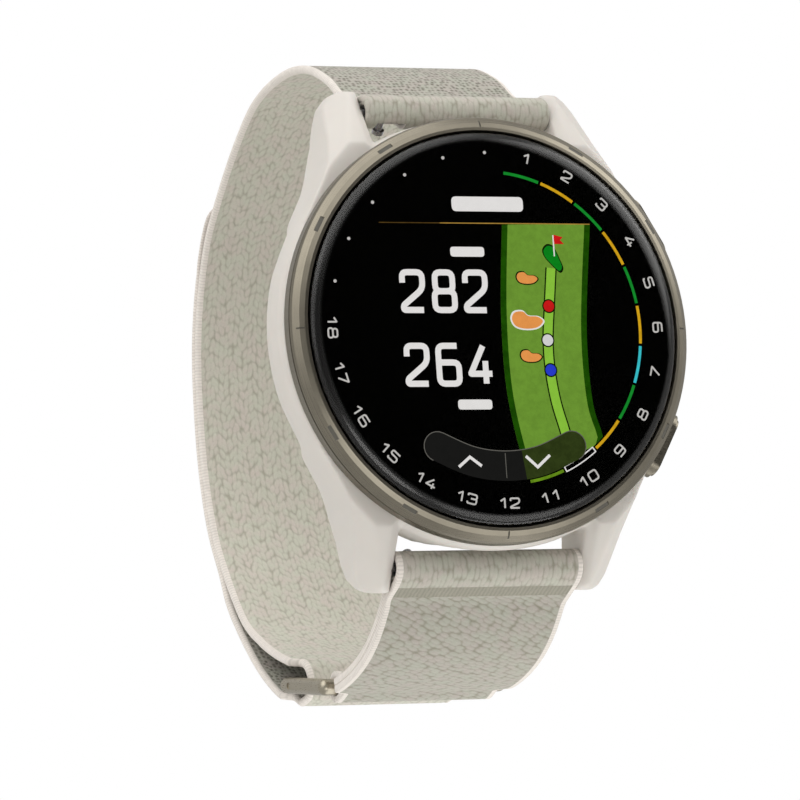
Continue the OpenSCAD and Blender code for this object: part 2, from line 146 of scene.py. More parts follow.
def polymer(name, colour, roughness=0.42):
    """Satin moulded polymer: a fine spark-eroded grain and faint blotches of gloss."""
    m = Shade(name, roughness=roughness, Subsurface_Weight=0.06, Subsurface_Scale=0.4 * MM)
    blotch = m.noise(m.place(), 0.12, 4)
    low = tuple(c * 0.94 for c in colour)
    m.set("Base Color", m.ramp(blotch, (0.3, low), (0.7, colour)))
    m.set("Roughness", m.ramp(blotch, (0.3, roughness - 0.05), (0.7, roughness + 0.06)))
    m.bump(m.noise(m.place(), 9.0, 2), 0.012, 0.5)
    return m.mat


def turned_metal(name, colour, roughness=0.3, grain=26.0):
    """Satin metal with the fine rings that a lathe or a brush turned round the dial leaves."""
    m = Shade(name, metallic=1.0, roughness=roughness)
    axes = m.tree.nodes.new("ShaderNodeSeparateXYZ")
    m.tree.links.new(m.place(), axes.inputs[0])
    flat = m.node("CombineXYZ", {"X": axes.outputs[0], "Y": axes.outputs[2]})
    radius = m.node("VectorMath", {0: flat}, out="Value", operation="LENGTH")
    spot = m.node("CombineXYZ", {"X": radius, "Y": axes.outputs[1]})
    rings = m.noise(spot, grain, 2, 0.7)
    wear = m.noise(m.place(), 0.35, 4)
    dark = tuple(c * 0.9 for c in colour)
    m.set("Base Color", m.ramp(wear, (0.35, dark), (0.65, colour)))
    m.set("Roughness", m.ramp(rings, (0.3, roughness - 0.06), (0.7, roughness + 0.1)))
    m.bump(rings, 0.004, 0.6)
    return m.mat


def metal(name, colour, roughness=0.3, grain=(14, 1.2, 14)):
    """Brushed or drawn metal with the grain along one axis."""
    m = Shade(name, metallic=1.0, roughness=roughness)
    lines = m.noise(m.place(scale=grain), 1.0, 3, 0.6)
    m.set("Base Color", m.ramp(lines, (0.3, tuple(c * 0.85 for c in colour)), (0.7, colour)))
    m.set("Roughness", m.ramp(lines, (0.3, roughness - 0.07), (0.7, roughness + 0.12)))
    m.bump(lines, 0.004, 0.5)
    return m.mat


def plain(name, colour, roughness=0.5, metallic=0.0, speckle=0.85, scale=2.0, **sockets):
    """Other finishes: one colour with a little variation, and a fine grain in the surface."""
    m = Shade(name, roughness=roughness, metallic=metallic, **sockets)
    noise = m.noise(m.place(), scale, 4)
    m.set("Base Color", m.ramp(noise, (0.35, tuple(c * speckle for c in colour)), (0.65, colour)))
    m.set("Roughness", m.ramp(noise, (0.3, max(roughness - 0.06, 0.02)), (0.7, roughness + 0.06)))
    m.bump(m.noise(m.place(), 8.0, 2), 0.006, 0.4)
    return m.mat


def circuit(name):
    """Solder mask over copper tracks."""
    m = Shade(name, roughness=0.35, Coat_Weight=0.3)
    tracks = m.cells(m.place(scale=(1.1, 1.1, 1.1)), 1.0, "DISTANCE_TO_EDGE")
    m.set("Base Color", m.ramp(tracks, (0.02, (0.02, 0.17, 0.08)), (0.06, (0.01, 0.08, 0.04))))
    m.bump(tracks, 0.02, 0.4)
    return m.mat


def clear_glass(name):
    """Polished glass, not quite flat."""
    m = Shade(name, (1, 1, 1), 0.0, IOR=1.5, Transmission_Weight=1.0)
    m.bump(m.noise(m.place(), 0.22, 3), 0.003, 0.3)
    return m.mat


def lit(name, colour, level=1.0, mottle=0.0):
    """A glowing part of the screen, or a printed mark made to glow as painted light; mottle is how far its
    brightness varies.
    """
    m = Shade(name, (0, 0, 0), 0.6, Specular_IOR_Level=0.0)
    grain = m.noise(m.place(), 1.3, 5, 0.7)
    low = tuple(c * (1 - mottle) for c in colour)
    m.set("Emission Color", m.ramp(grain, (0.38, low), (0.62, colour)))
    m.set("Emission Strength", level)
    return m.mat


STONE, BLUSH = rgb("#cbcbbd"), rgb("#cfc7be")


def cloth(name, pitch, turn, reach, depth, dark, chevron=0.0, dots=False, light=1.0, sheen=0.2):
    """Knitted nylon. pitch is the stitch's size along and across the strap in millimetres, reach how far
    the painted shade in the gaps between stitches spreads, dark the colour of that painted shade, and chevron
    the width of the columns that lean in turn left and right. dots puts the painted shade in the middle of
    each cell, as in an open mesh's holes."""
    m = Shade(name, roughness=0.9, Sheen_Weight=sheen, Sheen_Roughness=0.5, Specular_IOR_Level=0.2)
    lattice = m.place((1 / pitch[0], 1 / pitch[1], 1), turn, cloth=True)
    wobble = m.node("TexNoise", {"Vector": m.place(cloth=True), "Scale": 0.8, "Detail": 2.0}, out="Color")
    shift = m.node("VectorMath", {0: wobble, "Scale": 0.5}, operation="SCALE")
    lattice = m.node("VectorMath", {0: lattice, 1: shift}, operation="ADD")
    if chevron:
        axes = m.tree.nodes.new("ShaderNodeSeparateXYZ")
        m.tree.links.new(m.place(cloth=True), axes.inputs[0])
        lean = m.maths("MULTIPLY", m.maths("PINGPONG", axes.outputs[1], chevron), 0.75 / pitch[0])
        lattice = m.node("VectorMath", {0: lattice, 1: m.node("CombineXYZ", {"X": lean})}, operation="ADD")
    cells = m.cells(lattice, 0.55)
    # gap_shade is 0 where painted shade goes: in the gaps between stitches, or with dots in the middle of
    # each cell.
    gap_shade = m.ramp(cells, (0.0, 0.0), (reach, 1.0)) if dots else m.ramp(cells, (reach, 1.0), (0.78, 0.0))
    puff = gap_shade if dots else m.ramp(cells, (0.05, 1.0), (0.75, 0.0))
    mottle = m.noise(m.place((0.6, 0.5, 1), turn, cloth=True), 1.0, 3)
    fibre = m.noise(m.place((1, 1, 1), cloth=True), 9.0, 3, 0.65)
    tone = m.ramp(mottle, (0.4, tuple(c * light for c in STONE)), (0.62, tuple(c * light for c in BLUSH)))
    # Painted shade: the dark colour is mixed in where gap_shade is low.
    tone = m.mix(gap_shade, dark, tone)
    tone = m.mix(0.3, tone, m.ramp(fibre, (0.3, 0.62), (0.7, 1.0)), "MULTIPLY")
    m.set("Base Color", tone)
    height = m.maths("ADD", m.maths("MULTIPLY", puff, 0.7), m.maths("MULTIPLY", mottle, 0.4))
    height = m.maths("ADD", height, m.maths("MULTIPLY", fibre, 0.3))
    m.bump(height, depth, 0.9)
    return m.mat


def ribbed(name, pitch, across, colour, depth=0.06):
    """Welded cloth: fine ribs every pitch millimetres along the strap, or across it, with painted shade
    darkening the troughs between them.
    """
    m = Shade(name, roughness=0.75, Sheen_Weight=0.15, Specular_IOR_Level=0.3)
    axes = m.tree.nodes.new("ShaderNodeSeparateXYZ")
    m.tree.links.new(m.place(cloth=True), axes.inputs[0])
    drift = m.noise(m.place(cloth=True), 1.6, 3)
    turns = m.maths("MULTIPLY", axes.outputs[1 if across else 0], 2 * math.pi / pitch)
    turns = m.maths("ADD", turns, m.maths("MULTIPLY", drift, 5.0 if across else 1.5))
    wave = m.maths("ADD", m.maths("MULTIPLY", m.maths("SINE", turns), 0.5), 0.5)
    # Painted shade: the colour falls to 0.84 where the ribs' relief is lowest.
    tone = m.ramp(wave, (0.0, tuple(c * 0.84 for c in colour)), (0.6, colour))
    m.set("Base Color", m.mix(0.4, tone, m.ramp(drift, (0.3, 0.75), (0.7, 1.0)), "MULTIPLY"))
    m.bump(wave, depth, 0.7)
    return m.mat


IVORY = rgb("#d6d1cb")
CHAMPAGNE = (0.25, 0.228, 0.182)
STEEL = (0.52, 0.52, 0.54)
MATS = {
    "case_polymer": polymer("case_polymer", IVORY),
    "cover_polymer": polymer("cover_polymer", rgb("#cdc8c0"), 0.5),
    "bezel_metal": turned_metal("bezel_metal", CHAMPAGNE),
    "button_metal": metal("button_metal", CHAMPAGNE, 0.32, (2, 2, 18)),
    # The ring's metal is the bezel's champagne painted 1.75 times brighter: painted light that makes up for
    # the shade of the strap loop round it.
    "ring_metal": metal("ring_metal", tuple(c * 1.75 for c in CHAMPAGNE), 0.3, (10, 1.5, 10)),
    "bar_steel": metal("bar_steel", STEEL, 0.25, (1.5, 14, 14)),
    "spring_steel": metal("spring_steel", STEEL, 0.22, (1.5, 14, 14)),
    "screw_steel": turned_metal("screw_steel", STEEL, 0.25, 18.0),
    "shield_steel": metal("shield_steel", (0.6, 0.6, 0.6), 0.3, (1.5, 12, 12)),
    "frame_metal": metal("frame_metal", (0.35, 0.36, 0.37), 0.5, (3, 3, 3)),
    "copper_foil": plain("copper_foil", (0.6, 0.33, 0.14), 0.3, 1.0),
    "gold_contact": plain("gold_contact", (0.9, 0.66, 0.3), 0.2, 1.0, 0.9, 6.0),
    "battery_foil": plain("battery_foil", (0.5, 0.51, 0.52), 0.35, 0.8),
    "flex_film": plain("flex_film", (0.5, 0.22, 0.05), 0.3),
    "gasket_rubber": plain("gasket_rubber", (0.015, 0.015, 0.016), 0.7),
    "black_plastic": plain("black_plastic", (0.02, 0.02, 0.022), 0.45),
    "sensor_glass": plain("sensor_glass", (0.012, 0.012, 0.016), 0.08, 0.0, 0.8, 1.0, Coat_Weight=1.0),
    "diode_resin": plain("diode_resin", (0.6, 0.58, 0.42), 0.15),
    "circuit_board": circuit("circuit_board"),
    "display": plain("display", (0.003, 0.003, 0.003), 0.2),
    "cover_glass": clear_glass("cover_glass"),
}
# The sixth value of each cloth is the colour of the painted shade in its stitch gaps or mesh holes.
PILE = cloth("strap_pile", (0.86, 0.54), 0.0, 0.42, 0.15, rgb("#aeab9d"), 1.15)
MESH = cloth("strap_mesh", (0.66, 0.5), 0.0, 0.5, 0.16, rgb("#555243"), 0.0, True, 0.72)
KNIT = cloth("strap_knit", (0.52, 1.1), -0.5, 0.42, 0.16, rgb("#918e7f"), 0.0, False, 0.72)
BAND = cloth("strap_band", (1.1, 0.5), 0.0, 0.42, 0.13, rgb("#9c998b"), 0.0, False, 0.84)
WELD = ribbed("strap_weld", 0.42, True, rgb("#989587"), 0.03)
EDGE = ribbed("strap_edge", 0.34, False, rgb("#e9e2db"), 0.02)
BLACK = plain("dial_black", (0.002, 0.002, 0.0018), 0.6, Specular_IOR_Level=0.0)
# The dial's printed numbers glow: painted light in place of the light that falls on them through the glass.
GLOWING_PRINT = lit("dial_print_glow", rgb("#d6d4d0"), 0.8, 0.15)


# ---------------------------------------------------------------- mesh helpers


def piece(name, verts, faces, mats, body, picks=None, uvs=None, smooth=True):
    """A mesh in millimetres that rides on a body, or on none yet if it is to be blended. picks is a
    material index for each face."""
    mesh = bpy.data.meshes.new(name)
    mesh.from_pydata([Vector(v) * MM for v in verts], [], faces)
    for m in mats:
        mesh.materials.append(m)
    if picks:
        mesh.polygons.foreach_set("material_index", picks)
    if uvs:
        layer = mesh.uv_layers.new(name="cloth")
        for loop in mesh.loops:
            layer.data[loop.index].uv = uvs[loop.vertex_index]
    bm = bmesh.new()
    bm.from_mesh(mesh)
    bmesh.ops.recalc_face_normals(bm, faces=bm.faces)
    bm.to_mesh(mesh)
    bm.free()
    mesh.polygons.foreach_set("use_smooth", [smooth] * len(mesh.polygons))
    mesh.update()
    ob = bpy.data.objects.new(name, mesh)
    bpy.context.scene.collection.objects.link(ob)
    if body:
        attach(ob, body)
    return ob


def along(a, b, c, d, t):
    """A Catmull-Rom curve from b to c at t."""
    return ((2 * b) + (c - a) * t + (2 * a - 5 * b + 4 * c - d) * t * t + (3 * b - a - 3 * c + d) * t**3) / 2


def curve(points, steps):
    """The smooth path that the CAD model draws through the same points."""
    p = [Vector(q) for q in points]
    last = len(p) - 1
    path = [
        along(p[max(i - 1, 0)], p[i], p[i + 1], p[min(i + 2, last)], k / steps)
        for i in range(last)
        for k in range(steps)
    ]
    return path + [p[-1]]


def normals(path, closed=False):
    """Unit vectors a quarter turn to the left of the path."""
    n = len(path)
    out = []
    for i in range(n):
        a = path[(i - 1) % n] if closed else path[max(i - 1, 0)]
        b = path[(i + 1) % n] if closed else path[min(i + 1, n - 1)]
        d = (b - a).normalized()
        out.append(Vector((-d.y, d.x)))
    return out


def lengths(path):
    """Distance run along the path at each of its points."""
    out = [0.0]
    for a, b in zip(path, path[1:]):
        out.append(out[-1] + (b - a).length)
    return out


def smooth(t):
    t = min(max(t, 0.0), 1.0)
    return t * t * (3 - 2 * t)


FULL_HALF, NECK_HALF = 9.9, 8.6
# Distance in from the strap's edge and share of its thickness there: a rolled, sealed selvedge
SELVEDGE = [(0, 0), (0.05, 0.5), (0.15, 0.8), (0.32, 1.02), (0.55, 1.05), (0.72, 0.9), (0.95, 0.97)]
MIDDLE = [-8.6, -7.05, -5.5, -3.7, -1.85, 0, 1.85, 3.7, 5.5, 7.05, 8.6]
MIDDLE_IN, MIDDLE_HALF = 1.15, 8.75  # the middle columns start this far in, and are drawn for this half
# The same where two layers are sewn together at their edges
SEWN_EDGE = [(0, 0), (0.02, 0.72), (0.06, 0.98), (0.2, 1.0), (0.55, 1.0), (0.72, 0.95), (0.95, 0.97)]
SEALED = 4  # columns from the edge that carry the sealed finish


def sweep(name, path, half, thick, body, mats, pick, window=None, closed=False, sewn=None, edge=SELVEDGE):
    """Cloth of the given half width and thickness along a path in Y and Z. pick(i, outer) gives the
    material of a stretch's outer or inner face, window(point) says where the lever comes out, and
    sewn(i) where the edge is sewn under and carries the face's own cloth."""
    normal = normals(path, closed)
    run = lengths(path)
    columns = len(SELVEDGE) * 2 + len(MIDDLE)
    last = columns - 1
    verts, uvs = [], []
    for i, (p, n) in enumerate(zip(path, normal)):
        w, t = half(i), thick(i) / 2
        rows = [(-w + d, f) for d, f in edge]
        rows += [(x * (w - MIDDLE_IN) / MIDDLE_HALF, 1.0) for x in MIDDLE]
        rows += [(w - d, f) for d, f in reversed(edge)]
        for x, f in rows + rows[1:-1]:
            side = 1 if len(verts) - i * (2 * columns - 2) < columns else -1
            q = p + n * (side * f * t)
            verts.append((x, q.x, q.y))
            uvs.append((run[i], x))
    stride = 2 * columns - 2

    def outer(i, k):
        return (i % len(path)) * stride + k

    def inner(i, k):
        return outer(i, k) if k in (0, last) else outer(i, 0) + columns + k - 1

    spans = len(path) if closed else len(path) - 1
    gap_columns = range(len(SELVEDGE), len(SELVEDGE) + 2)
    cut = {
        (i, k)
        for i in range(spans)
        if window and window((path[i] + path[(i + 1) % len(path)]) / 2)
        for k in gap_columns
    }
    faces, picks = [], []

    def add(face, mat):
        corners = list(dict.fromkeys(face))
        if len(corners) > 2:
            faces.append(corners)
            picks.append(mat)

    for i in range(spans):
        for k in range(last):
            if (i, k) in cut:
                walls = [((i - 1, k), (i, k), (i, k + 1)), ((i + 1, k), (i + 1, k), (i + 1, k + 1))]
                walls += [((i, k - 1), (i, k), (i + 1, k)), ((i, k + 1), (i, k + 1), (i + 1, k + 1))]
                for beside, a, b in walls:
                    if beside not in cut:
                        add([outer(*a), outer(*b), inner(*b), inner(*a)], 0)
                continue
            sealed = (k < SEALED or k >= last - SEALED) and not (sewn and sewn(i))
            top = [outer(i, k), outer(i, k + 1), outer(i + 1, k + 1), outer(i + 1, k)]
            under = [inner(i, k), inner(i + 1, k), inner(i + 1, k + 1), inner(i, k + 1)]
            add(top, 0 if sealed else pick(i, True))
            add(under, 0 if sealed else pick(i, False))
    if not closed:
        for i in (0, len(path) - 1):
            for k in range(last):
                add([outer(i, k), outer(i, k + 1), inner(i, k + 1), inner(i, k)], 0)
    return piece(name, verts, faces, mats, body, picks, uvs)


def plates(name, shapes, mats, picks=None):
    """Thin flat shapes on the dial: each is (outline in X and Z, height of its back, thickness)."""
    verts, faces, indices = [], [], []
    for s, (outline, h, t) in enumerate(shapes):
        base, n = len(verts), len(outline)
        for level in (h, h + t):
            verts += [(x, -level, z) for x, z in outline]
        faces.append([base + i for i in range(n)])
        faces.append([base + n + i for i in reversed(range(n))])
        faces += [[base + i, base + (i + 1) % n, base + n + (i + 1) % n, base + n + i] for i in range(n)]
        indices += [picks[s] if picks else 0] * (n + 2)
    return piece(name, verts, faces, mats, "watch", indices, smooth=False)


def ribbon(points, width, closed=False):
    """Quads, each an outline, of a flat line with mitred corners through points."""
    p = [Vector(q) for q in points]
    n = len(p)
    sides = []
    for i in range(n):
        a = (p[i] - p[i - 1]).normalized() if closed or i > 0 else None
        b = (p[(i + 1) % n] - p[i]).normalized() if closed or i < n - 1 else None
        a, b = a or b, b or a
        d = (a + b).normalized()
        reach = width / 2 / max(d.dot(a), 0.5)
        out = Vector((-d.y, d.x)) * reach
        sides.append((p[i] + out, p[i] - out))
    spans = n if closed else n - 1
    return [
        [tuple(sides[i][0]), tuple(sides[(i + 1) % n][0]), tuple(sides[(i + 1) % n][1]), tuple(sides[i][1])]
        for i in range(spans)
    ]


def rounded(points, radius, closed=False, steps=4):
    """points with each corner of more than 30 degrees replaced by a short arc."""
    p = [Vector(q) for q in points]
    n = len(p)
    out = []
    for i in range(n):
        if not closed and i in (0, n - 1):
            out.append(p[i])
            continue
        a, b = p[i - 1] - p[i], p[(i + 1) % n] - p[i]
        r = min(radius, a.length / 2, b.length / 2)
        if a.angle(b) > math.radians(150):
            out.append(p[i])
            continue
        if a.angle(b) < math.radians(75):
            r *= 0.2
        s, e = p[i] + a.normalized() * r, p[i] + b.normalized() * r
        for k in range(steps + 1):
            t = k / steps
            q = s * (1 - t) ** 2 + p[i] * 2 * t * (1 - t) + e * t * t
            if not out or (q - out[-1]).length > 0.01:
                out.append(q)
    if closed and (out[0] - out[-1]).length < 0.01:
        out.pop()
    return out


def disc(x, z, r, n=24):
    turns = [2 * math.pi * k / n for k in range(n)]
    return [(x + r * math.cos(a), z + r * math.sin(a)) for a in turns]


# ---------------------------------------------------------------- digits

# Strokes of each digit in a unit square, and whether the stroke closes on itself
DIGITS = {
    "0": [([(0, 0), (0, 1), (1, 1), (1, 0)], True)],
    "1": [([(0.15, 0.72), (0.62, 1), (0.62, 0)], False)],
    "2": [([(0, 0.72), (0, 1), (1, 1), (1, 0.56), (0, 0.12), (0, 0), (1, 0)], False)],
    "3": [
        ([(0, 0.8), (0, 1), (1, 1), (1, 0.52), (0.35, 0.52)], False),
        ([(1, 0.52), (1, 0), (0, 0), (0, 0.2)], False),
    ],
    "4": [([(0.68, 1), (0, 0.26), (1.08, 0.26)], False), ([(0.76, 0.6), (0.76, 0)], False)],
    "5": [([(1, 1), (0, 1), (0, 0.56), (1, 0.56), (1, 0), (0, 0), (0, 0.18)], False)],
    "6": [([(0.95, 1), (0, 1), (0, 0), (1, 0), (1, 0.56), (0, 0.56)], False)],
    "7": [([(0, 1), (1, 1), (0.3, 0)], False)],
    "8": [
        ([(0, 0), (0, 0.5), (1, 0.5), (1, 0)], True),
        ([(0.06, 0.5), (0.06, 1), (0.94, 1), (0.94, 0.5)], True),
    ],
    "9": [([(0.05, 0), (1, 0), (1, 1), (0, 1), (0, 0.44), (1, 0.44)], False)],
}


def number(text, centre, width, height, pitch, stroke, turn=0.0, corner=0.3):
    """Outlines of a number's strokes: digits of the given size and pitch, turned clockwise."""
    c, s = math.cos(turn), math.sin(turn)
    quads = []
    for i, digit in enumerate(text):
        left = (i - (len(text) - 1) / 2) * pitch - width / 2
        for points, closed in DIGITS[digit]:
            path = [(left + x * width, (z - 0.5) * height) for x, z in points]
            for quad in ribbon(rounded(path, corner, closed), stroke, closed):
                quads.append([(centre[0] + x * c + z * s, centre[1] - x * s + z * c) for x, z in quad])
    return quads


# ---------------------------------------------------------------- CAD finishes and the case

for part in frame["record"]["subparts"]:
    if part["material_slot"] in MATS:
        ob = NODES[part["node"]]
        for place in ob.material_slots:
            place.link = "OBJECT"
            place.material = MATS[part["material_slot"]]

CASE_VOXEL = 0.17
cad_case = NODES["case_body"]
case_mesh = cad_case.data.copy()
case_mesh.materials.clear()
case_mesh.materials.append(MATS["case_polymer"])
case = bpy.data.objects.new("case_shell", case_mesh)
bpy.context.scene.collection.objects.link(case)


def bake(ob):
    """Applies the object's modifiers to its mesh."""
    done = bpy.data.meshes.new_from_object(ob.evaluated_get(bpy.context.evaluated_depsgraph_get()))
    ob.modifiers.clear()
    ob.data = done


def soften(ob, rounds, group=""):
    ease = ob.modifiers.new("soften", "SMOOTH")
    ease.factor, ease.iterations, ease.vertex_group = 0.5, rounds, group


remesh = case.modifiers.new("remesh", "REMESH")
remesh.mode, remesh.voxel_size, remesh.use_smooth_shade = "VOXEL", CASE_VOXEL * MM, True
bake(case)
# The lugs run into the round case in one soft curve, so their shoulders are eased more than the rest
shoulder = case.vertex_groups.new(name="shoulder")
edges = case.vertex_groups.new(name="edges")
BUTTON_X, BUTTON_Z, BUTTON_ROOM = 19.0, 10.75, 4.7  # the button pockets keep their exact shape
for v in case.data.vertices:
    x, h, z = abs(v.co.x) / MM, -v.co.y / MM, abs(v.co.z) / MM
    weight = smooth((math.hypot(x, z) - 19.8) / 0.8) * smooth((z - 6) / 2.5) * smooth((17.5 - z) / 3)
    weight *= smooth((x - 11.6) / 1.5) * smooth((8.2 - h) / 1.2)
    away = 1.0
    if v.co.x > 0:
        away = smooth((math.hypot(x - BUTTON_X, z - BUTTON_Z) - BUTTON_ROOM) / 1.2)
    if weight * away > 0.01:
        shoulder.add([v.index], weight * away, "REPLACE")
    edges.add([v.index], max(away, 0.12), "REPLACE")
soften(case, 320, "shoulder")
soften(case, 16, "edges")
bake(case)
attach(case, "watch")
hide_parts("case_body")


# ---------------------------------------------------------------- straps

STEPS = 9
UPPER = [[-4.9, 23.1], [-2.0, 24.4], [1.3, 26.2], [4.4, 28.4], [9, 30.5], [13.4, 31.4], [17.6, 31.4]]
UPPER += [[22, 30.8], [26, 29.4], [31.4, 26], [36.4, 22], [40.1, 18.4], [43, 13.2], [44.7, 7.8]]
UPPER += [[45.3, 2], [45.1, -5], [43.7, -11.6], [41.2, -16.7], [36.6, -22.8], [32.2, -25.7]]
UPPER += [[28.3, -27.5], [24.9, -28.7]]
FOLD = [[23.1, -29.5], [22.3, -31], [23, -32.4], [25.4, -32.9]]
TAIL_ROOT = [[25.6, -32.9], [29.4, -30.9], [33.3, -28.2], [37.3, -24.4], [40.3, -20.8]]
LOWER = [[-4.9, -23.1], [-2.4, -25.3], [0.7, -28.3], [3.7, -30.3], [6.9, -31.6], [10.2, -32.4]]
LOWER += [[12.9, -32.7], [15.3, -32.5]]
TAIL_GAP, TAIL_FIRST, TAIL_LAST = 0.9, 10, 17
STRAP_T, TAIL_T, LAYER_T, WRAP_T = 0.8, 0.7, 0.72, 0.5
EYE_HALF = 10.1
EYE_R = 1.36  # middle of the cloth round a spring bar
RING_EYE_R = 1.27
RING_SPREAD = 0.88  # how much further out each layer of the lower strap lies at the ring's crossbar
WRAP = 5.2  # length of the doubled cloth beside the upper spring bar
WRAP_GAP, LAYER_GAP = 0.62, 0.375  # from the strap's middle line to its sewn-on or doubled layer
TAPER = 0.7  # length over which a strap narrows to its neck
PAD_HALF, PAD_T = 8.9, 0.28
FABRIC = [EDGE, PILE, MESH, KNIT, BAND, WELD]
I_EDGE, I_PILE, I_MESH, I_KNIT, I_BAND, I_WELD = range(6)
LEVER_DOWN = Vector((0.707, -0.707))
LEVER_UP = Vector((0.707, 0.707))


def arc(centre, n, d, radius, steps=12):
    """Points half way round a bar, from one side of the strap to the other."""
    out = []
    for k in range(1, steps):
        a = math.pi * k / steps
        out.append(Vector(centre) + (n * math.cos(a) - d * math.sin(a)) * radius)
    return out


def lever_window(centre, direction, low=-1.5, high=0.9):
    across = Vector((-direction.y, direction.x))

    def window(point):
        rel = point - Vector(centre)
        return rel.length < 2.6 and rel.dot(direction) > 0.3 and low < rel.dot(across) < high

    return window


def tangent(n):
    return Vector((n.y, -n.x))


# Upper strap: sewn back on itself round the spring bar, then over the wrist and down to the fold
route = curve(UPPER + FOLD, STEPS)
route_n = normals(route)
route_s = lengths(route)
inner, wrap_s = [], []
for p, n, s in zip(route, route_n, route_s):
    if s <= WRAP:
        inner.insert(0, p - n * (WRAP_GAP + (EYE_R - WRAP_GAP) * smooth(1 - s / 5)))
        wrap_s.insert(0, s)
bar_arc = arc(route[0], -route_n[0], tangent(route_n[0]), EYE_R)
outer_layer = [p + n * EYE_R * (1 - smooth(s / 5)) for p, n, s in zip(route, route_n, route_s)]
upper_path = inner + bar_arc + outer_layer
outer_start = len(inner) + len(bar_arc)
neck_start = outer_start + 21 * STEPS
upper_s = lengths(upper_path)


def upper_half(i):
    if i < outer_start + STEPS:
        return EYE_HALF - (EYE_HALF - FULL_HALF) * smooth((i - outer_start) / STEPS)
    s = upper_s[i] - upper_s[neck_start]
    return FULL_HALF + (NECK_HALF - FULL_HALF) * smooth(s / TAPER)


def upper_thick(i):
    return WRAP_T if i < outer_start - 3 else STRAP_T


def upper_pick(i, outer):
    wrapped = i < outer_start or upper_s[i] - upper_s[outer_start] < 2.4
    return I_BAND if wrapped else I_MESH if outer else I_PILE


upper = sweep(
    "upper_strap_cloth", upper_path, upper_half, upper_thick, "upper_strap", FABRIC, upper_pick,
    lever_window(UPPER[0], LEVER_DOWN), sewn=lambda i: i < outer_start + 4,
)
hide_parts("upper_strap")

# Tail: back from the fold and flat on the strap, its end sealed into the hook pad
full = curve(UPPER, STEPS)
full_n = normals(full)
tail_points = [Vector(p) for p in TAIL_ROOT]
for i in range(TAIL_LAST, TAIL_FIRST - 1, -1):
    tail_points.append(full[i * STEPS] + full_n[i * STEPS] * TAIL_GAP)
tail_path = curve([[25.4, -32.9]] + tail_points[1:], STEPS)
tail_s = lengths(tail_path)
tail_end = tail_s[-1]
PAD_FROM = tail_s[-1 - int(1.75 * STEPS)]


TAIL_NECK, TAIL_CORNER = 1.6, 3.2  # length of the narrow neck and radius of the end's corners
SEALED_T = 0.36  # thickness of the tail's sealed end


def tail_half(i):
    width = NECK_HALF + (FULL_HALF - NECK_HALF) * smooth((tail_s[i] - TAIL_NECK) / TAPER)
    left = min((tail_end - tail_s[i]) / TAIL_CORNER, 1)
    return width - TAIL_CORNER * (1 - math.sqrt(max(1 - (1 - left) ** 2, 0)))


def tail_thick(i):
    return TAIL_T if tail_s[i] < PAD_FROM else SEALED_T


tail_n = normals(tail_path)
shifted = [
    p - n * 0.175 * smooth((s - PAD_FROM) / 1.2) for p, n, s in zip(tail_path, tail_n, tail_s)
]
tail = sweep("strap_tail_cloth", shifted, tail_half, tail_thick, None, FABRIC, lambda i, outer: I_MESH)
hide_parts("strap_tail")
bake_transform(tail)

pad_path = [p + n * 0.2 for p, n, s in zip(tail_path, tail_n, tail_s) if s >= PAD_FROM + 0.4]
pad_path = pad_path[:-2]
HOOK = plain("hook_tape", rgb("#98958a"), 0.5, 0.0, 0.7, 3.0)
pad = sweep(
    "hook_pad_tape", pad_path, lambda i: PAD_HALF, lambda i: PAD_T, "strap_tail", [HOOK], lambda i, outer: 0
)
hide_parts("hook_pad")

# Lower strap: one belt of cloth round the spring bar and round the ring's front crossbar
low = curve(LOWER, STEPS)
low_n = [-n for n in normals(low)]
low_s = lengths(low)
low_end = low_s[-1]
low_off = [
    LAYER_GAP
    + (EYE_R - LAYER_GAP) * smooth(1 - s / 4.5)
    + RING_SPREAD * smooth(1 - (low_end - s) / 2.6)
    for s in low_s
]
outside = [p + n * f for p, n, f in zip(low, low_n, low_off)]
inside = [p - n * f for p, n, f in zip(low, low_n, low_off)]
d0 = (low[1] - low[0]).normalized()
d1 = (low[-1] - low[-2]).normalized()
bar_turn = arc(low[0], low_n[0], d0, EYE_R)
ring_turn = arc(low[-1], -low_n[-1], -d1, RING_EYE_R)
belt = outside[::-1] + bar_turn + inside + ring_turn
n_out, n_bar, n_in = len(outside), len(bar_turn), len(inside)
belt_s = low_s[::-1] + [0.0] * n_bar + low_s + [low_end] * len(ring_turn)


def belt_half(i):
    y = belt[i % len(belt)].x
    full_half = FULL_HALF + (EYE_HALF - FULL_HALF) * smooth((-1.5 - y) / 1.5)
    return full_half + (NECK_HALF - FULL_HALF) * smooth((y - 12.4) / 0.8)


def belt_pick(i, outer):
    if not outer:
        return I_PILE
    if i < n_out:
        s = belt_s[i]
        return I_BAND if s < 1.6 else I_WELD if s < 3.2 else I_KNIT
    if i < n_out + n_bar:
        return I_BAND
    if i < n_out + n_bar + n_in:
        return I_PILE
    return I_BAND


lower = sweep(
    "lower_strap_cloth", belt, belt_half, lambda i: LAYER_T, "lower_strap", FABRIC, belt_pick,
    lever_window(LOWER[0], LEVER_UP), closed=True, edge=SEWN_EDGE,
)
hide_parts("lower_strap")


# Rolled cloth inside each eye, so that its ends are closed round the bar
ROLL_IN, ROLL_OUT, ROLL_FROM, ROLL_TO = 0.8, 1.2, 9.1, 9.98


